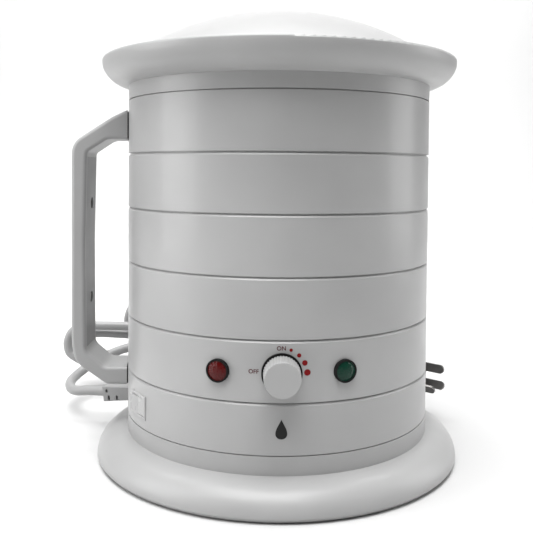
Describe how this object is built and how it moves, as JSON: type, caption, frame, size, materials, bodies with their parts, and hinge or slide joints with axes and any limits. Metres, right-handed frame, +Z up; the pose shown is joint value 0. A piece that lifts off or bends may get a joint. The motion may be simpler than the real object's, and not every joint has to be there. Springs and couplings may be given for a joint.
{
  "type": "paraffin wax bath",
  "caption": "Round tabletop paraffin wax bath with a ribbed housing, domed lid, side handle, dial thermostat, two lamps, a rocker switch and a mains cord with plug.",
  "frame": {"origin": "on the body's vertical axis at the floor under the feet", "axes": "+Z up along the body's axis; the control panel faces -Y; the handle is at -X; the cord leaves at the back left"},
  "size_m": [0.2999, 0.2676, 0.2766],
  "materials": {
    "housing_plastic": "light grey moulded, fine satin",
    "base_plastic": "light grey moulded, semi gloss",
    "lid_plastic": "milky white, slightly see-through",
    "tank_metal": "spun aluminium, anodised satin",
    "guard_metal": "perforated sheet, satin",
    "spreader_metal": "cast, rough",
    "steel_zinc": "zinc plated steel",
    "steel_wire": "polished wire",
    "heater_steel": "heat-tinted tube",
    "capillary_copper": "drawn tube",
    "insert_brass": "turned",
    "insulation_wool": "glass-fibre blanket",
    "gasket_rubber": "black soft seal",
    "silicone_seal": "pale silicone ring",
    "foot_rubber": "matt black",
    "knob_plastic": "light grey, ribbed side",
    "dial_plastic": "black ring",
    "black_plastic": "black moulded",
    "lamp_body_plastic": "dark moulded bezel",
    "red_lens": "clear red lens",
    "green_lens": "clear green lens",
    "switch_plastic": "light grey moulded",
    "handle_plastic": "light grey moulded",
    "handle_inner_plastic": "mid grey moulded",
    "gland_plastic": "grey flexible moulding",
    "cord_pvc": "light grey flexible PVC",
    "tie_plastic": "white strip",
    "plug_plastic": "grey moulded",
    "pin_metal": "dull plated blades",
    "terminal_plastic": "ivory block",
    "wire_pvc": "thin insulated leads"
  },
  "bodies": {
    "housing": {"body_shell": "housing_plastic", "base_ring": "base_plastic", "bottom_plate": "black_plastic", "rubber_feet": "foot_rubber", "foot_screws": "steel_zinc", "tie_rods": "steel_zinc", "rod_nuts": "steel_zinc", "top_collar": "base_plastic", "tank": "tank_metal", "tank_gasket": "silicone_seal", "heat_spreader": "spreader_metal", "heater_element": "heater_steel", "heater_clamp": "steel_zinc", "clamp_bolt": "steel_zinc", "sensor_bulb": "capillary_copper", "thermal_cutout": "black_plastic", "insulation": "insulation_wool", "support_disc": "steel_zinc", "thermostat_body": "black_plastic", "dial_ring": "dial_plastic", "thermostat_nut": "steel_zinc", "red_lamp_body": "lamp_body_plastic", "red_lamp_lens": "red_lens", "green_lamp_body": "lamp_body_plastic", "green_lamp_lens": "green_lens", "lamp_retainers": "steel_zinc", "switch_housing": "switch_plastic", "switch_terminals": "insert_brass", "handle_outer": "handle_plastic", "handle_cover": "handle_inner_plastic", "cover_screws": "steel_zinc", "handle_gaskets": "gasket_rubber", "handle_backplates": "steel_zinc", "handle_screws": "steel_zinc", "cord_gland": "gland_plastic", "cord_stub": "cord_pvc", "cord_clamp": "black_plastic", "terminal_block": "terminal_plastic", "internal_wires": "wire_pvc", "cord_lead": "cord_pvc", "cord_hank": "cord_pvc", "cord_tie": "tie_plastic", "cord_tail": "cord_pvc", "plug_body": "plug_plastic", "plug_pins": "pin_metal"},
    "lid": {"lid": "lid_plastic"},
    "knob": {"control_knob": "knob_plastic", "knob_insert": "insert_brass", "thermostat_shaft": "steel_zinc"},
    "rocker": {"switch_rocker": "switch_plastic"},
    "guard": {"bottom_guard": "guard_metal", "guard_loop": "steel_wire"}
  },
  "joints": [
    {"name": "lid_lift", "type": "slide", "parent": "housing", "child": "lid", "axis": [0, 0, 1], "range_m": [0, 0.15]},
    {"name": "guard_lift", "type": "slide", "parent": "housing", "child": "guard", "axis": [0, 0, 1], "range_m": [0, 0.11]},
    {"name": "knob_turn", "type": "hinge", "parent": "housing", "child": "knob", "pos_m": [0, -0.1, 0.075], "axis": [0, 1, 0], "range_deg": [0, 185]},
    {"name": "switch_rock", "type": "hinge", "parent": "housing", "child": "rocker", "pos_m": [-0.08142, -0.04777, 0.0426], "axis": [0, 0, -1], "range_deg": [0, 18]}
  ]
}
